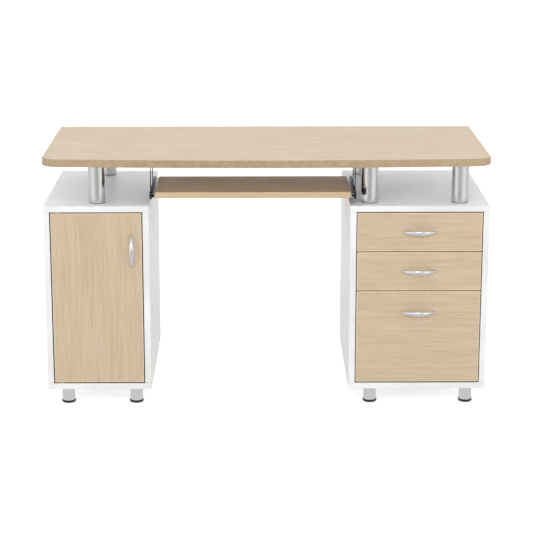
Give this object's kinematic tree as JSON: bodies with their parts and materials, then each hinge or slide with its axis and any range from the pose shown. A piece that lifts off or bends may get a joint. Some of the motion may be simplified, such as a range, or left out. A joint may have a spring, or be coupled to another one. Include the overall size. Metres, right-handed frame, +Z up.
{
  "type": "computer desk with keyboard tray",
  "caption": "Two-pedestal computer desk: raised wood-look top on steel posts, sliding keyboard tray, cupboard with hinged door and a stack of drawers.",
  "frame": {"origin": "on the floor, under the middle of the desk's bounding box", "axes": "+X to the right as seen by the person sitting at the desk, +Y to the back, +Z up; the front, with the door and drawers, faces -Y"},
  "size_m": [1.3, 0.6, 0.755],
  "materials": {
    "pale_wood": "satin pale maple-look laminate, fine straight grain",
    "white_laminate": "satin white melamine on particle board",
    "brushed_steel": "satin brushed tube",
    "chrome": "satin chrome plating",
    "zinc_steel": "zinc-plated pressed sheet",
    "black_steel": "black powder coat",
    "black_plastic": "moulded black plastic",
    "drawer_board": "light paper-foil board"
  },
  "bodies": {
    "root": {"desktop": "pale_wood", "left_cabinet_top": "white_laminate", "left_cabinet_bottom": "white_laminate", "left_cabinet_outer_side": "white_laminate", "left_cabinet_inner_side": "white_laminate", "left_cabinet_back": "white_laminate", "left_cabinet_shelf": "white_laminate", "right_cabinet_top": "white_laminate", "right_cabinet_bottom": "white_laminate", "right_cabinet_outer_side": "white_laminate", "right_cabinet_inner_side": "white_laminate", "right_cabinet_back": "white_laminate", "post_left_front": "brushed_steel", "post_left_rear": "brushed_steel", "post_right_inner_front": "brushed_steel", "post_right_inner_rear": "brushed_steel", "post_right_outer_front": "brushed_steel", "foot_left_outer_front": "brushed_steel", "foot_left_outer_rear": "brushed_steel", "foot_left_inner_front": "brushed_steel", "foot_left_inner_rear": "brushed_steel", "foot_right_outer_front": "brushed_steel", "foot_right_outer_rear": "brushed_steel", "foot_right_inner_front": "brushed_steel", "foot_right_inner_rear": "brushed_steel", "door_catch": "black_plastic", "drawer_1_rail_left": "zinc_steel", "drawer_1_rail_right": "zinc_steel", "drawer_2_rail_left": "zinc_steel", "drawer_2_rail_right": "zinc_steel", "drawer_3_rail_left": "zinc_steel", "drawer_3_rail_right": "zinc_steel", "tray_hanger_left": "black_steel", "tray_hanger_right": "black_steel"},
    "door": {"door": "pale_wood", "door_handle": "chrome", "door_pivot_pin_upper": "zinc_steel", "door_pivot_pin_lower": "zinc_steel", "door_strike_plate": "zinc_steel"},
    "drawer_1": {"drawer_1_front": "pale_wood", "drawer_1_handle": "chrome", "drawer_1_box": "drawer_board", "drawer_1_bottom": "drawer_board", "drawer_1_runner_left": "zinc_steel", "drawer_1_runner_right": "zinc_steel"},
    "drawer_2": {"drawer_2_front": "pale_wood", "drawer_2_handle": "chrome", "drawer_2_box": "drawer_board", "drawer_2_bottom": "drawer_board", "drawer_2_runner_left": "zinc_steel", "drawer_2_runner_right": "zinc_steel"},
    "drawer_3": {"drawer_3_front": "pale_wood", "drawer_3_handle": "chrome", "drawer_3_box": "drawer_board", "drawer_3_bottom": "drawer_board", "drawer_3_runner_left": "zinc_steel", "drawer_3_runner_right": "zinc_steel"},
    "keyboard_tray": {"keyboard_tray": "pale_wood", "tray_runner_left": "zinc_steel", "tray_runner_right": "zinc_steel"}
  },
  "joints": [
    {"name": "door_hinge", "type": "hinge", "parent": "root", "child": "door", "pos_m": [-0.609, -0.241, 0.077], "axis": [0, 0, -1], "range_deg": [0, 95]},
    {"name": "drawer_1_slide", "type": "slide", "parent": "root", "child": "drawer_1", "axis": [0, -1, 0], "range_m": [0, 0.34]},
    {"name": "drawer_2_slide", "type": "slide", "parent": "root", "child": "drawer_2", "axis": [0, -1, 0], "range_m": [0, 0.34]},
    {"name": "drawer_3_slide", "type": "slide", "parent": "root", "child": "drawer_3", "axis": [0, -1, 0], "range_m": [0, 0.34]},
    {"name": "keyboard_tray_slide", "type": "slide", "parent": "root", "child": "keyboard_tray", "axis": [0, -1, 0], "range_m": [0, 0.18]}
  ]
}
